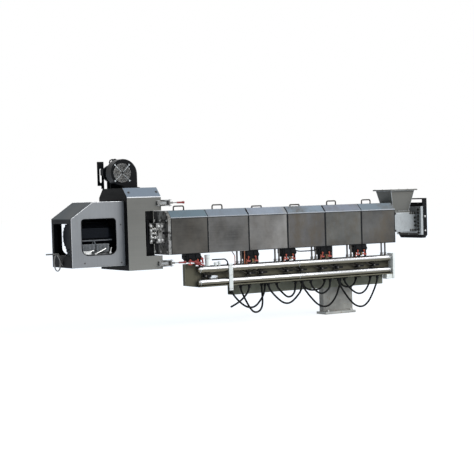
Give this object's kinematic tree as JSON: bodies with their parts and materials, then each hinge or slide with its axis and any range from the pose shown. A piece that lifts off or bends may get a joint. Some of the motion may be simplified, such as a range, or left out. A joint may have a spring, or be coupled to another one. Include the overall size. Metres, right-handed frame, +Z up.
{
  "type": "twin-screw plastic extruder process section",
  "caption": "Twin-screw plastic extruder line: covered barrel, feed hopper, die hood with blower, cutter guard and water manifold on a pedestal.",
  "frame": {"origin": "middle of the underside of the pedestal's bolted foot plate", "axes": "+X along the barrel from the die to the feed end, +Y away from the operator side, +Z up"},
  "size_m": [4.502, 0.664, 1.714],
  "materials": {
    "brushed_cover": "brushed",
    "guard_sheet": "satin",
    "hood_sheet": "satin",
    "black_steel": "satin",
    "machined_steel": "machined",
    "olive_sheet": "matt",
    "polished_pipe": "polished",
    "grey_paint": "satin",
    "cream_paint": "satin",
    "red_plastic": "matt",
    "black_plastic": "matt",
    "black_hose": "matt"
  },
  "bodies": {
    "machine": {"barrel_supports": "grey_paint", "base_beam": "grey_paint", "blower_guard": "black_steel", "blower_motor": "black_steel", "blower_scroll": "black_steel", "bracket_left": "olive_sheet", "bracket_right": "cream_paint", "cover_1": "brushed_cover", "cover_2": "brushed_cover", "cover_3": "brushed_cover", "cover_4": "brushed_cover", "cover_5": "brushed_cover", "cover_6": "brushed_cover", "cover_handles": "brushed_cover", "cutter_carriage": "black_plastic", "cutter_chamber": "machined_steel", "cutter_motor": "black_plastic", "die_head": "machined_steel", "die_hood": "hood_sheet", "die_studs": "machined_steel", "end_frame": "black_steel", "feed_barrel": "machined_steel", "feed_plate": "machined_steel", "foot_plate": "grey_paint", "guard_back": "guard_sheet", "guard_end_frame": "black_steel", "guard_floor": "black_steel", "guard_front": "guard_sheet", "guard_roof": "black_steel", "hopper": "machined_steel", "hose_1": "black_hose", "hose_10": "black_hose", "hose_11": "black_hose", "hose_2": "black_hose", "hose_3": "black_hose", "hose_4": "black_hose", "hose_5": "black_hose", "hose_6": "black_hose", "hose_7": "black_hose", "hose_8": "black_hose", "hose_9": "black_hose", "latch_lower": "machined_steel", "latch_upper": "machined_steel", "lower_pipe": "polished_pipe", "manifold_plate": "olive_sheet", "motor_stand": "black_steel", "pedestal": "grey_paint", "pipe_fittings": "cream_paint", "pipe_strap": "cream_paint", "release_lever": "machined_steel", "riser_tubes": "machined_steel", "screw_barrel": "machined_steel", "shutoff_valves": "black_plastic", "upper_pipe": "polished_pipe", "valve_blocks": "black_plastic", "valve_levers": "red_plastic"},
    "impeller": {"blower_impeller": "black_steel"},
    "upper_lever": {"latch_upper_lever": "red_plastic"},
    "lower_lever": {"latch_lower_lever": "red_plastic"}
  },
  "joints": [
    {"name": "impeller_spin", "type": "hinge", "parent": "machine", "child": "impeller", "pos_m": [-2.579, 0, 1.568], "axis": [0, 1, 0], "continuous": true},
    {"name": "upper_lever_swing", "type": "hinge", "parent": "machine", "child": "upper_lever", "pos_m": [-2.206, -0.338, 1.262], "axis": [0, 0, -1], "range_deg": [0, 95]},
    {"name": "lower_lever_swing", "type": "hinge", "parent": "machine", "child": "lower_lever", "pos_m": [-2.206, -0.338, 0.671], "axis": [0, 0, -1], "range_deg": [0, 95]}
  ]
}
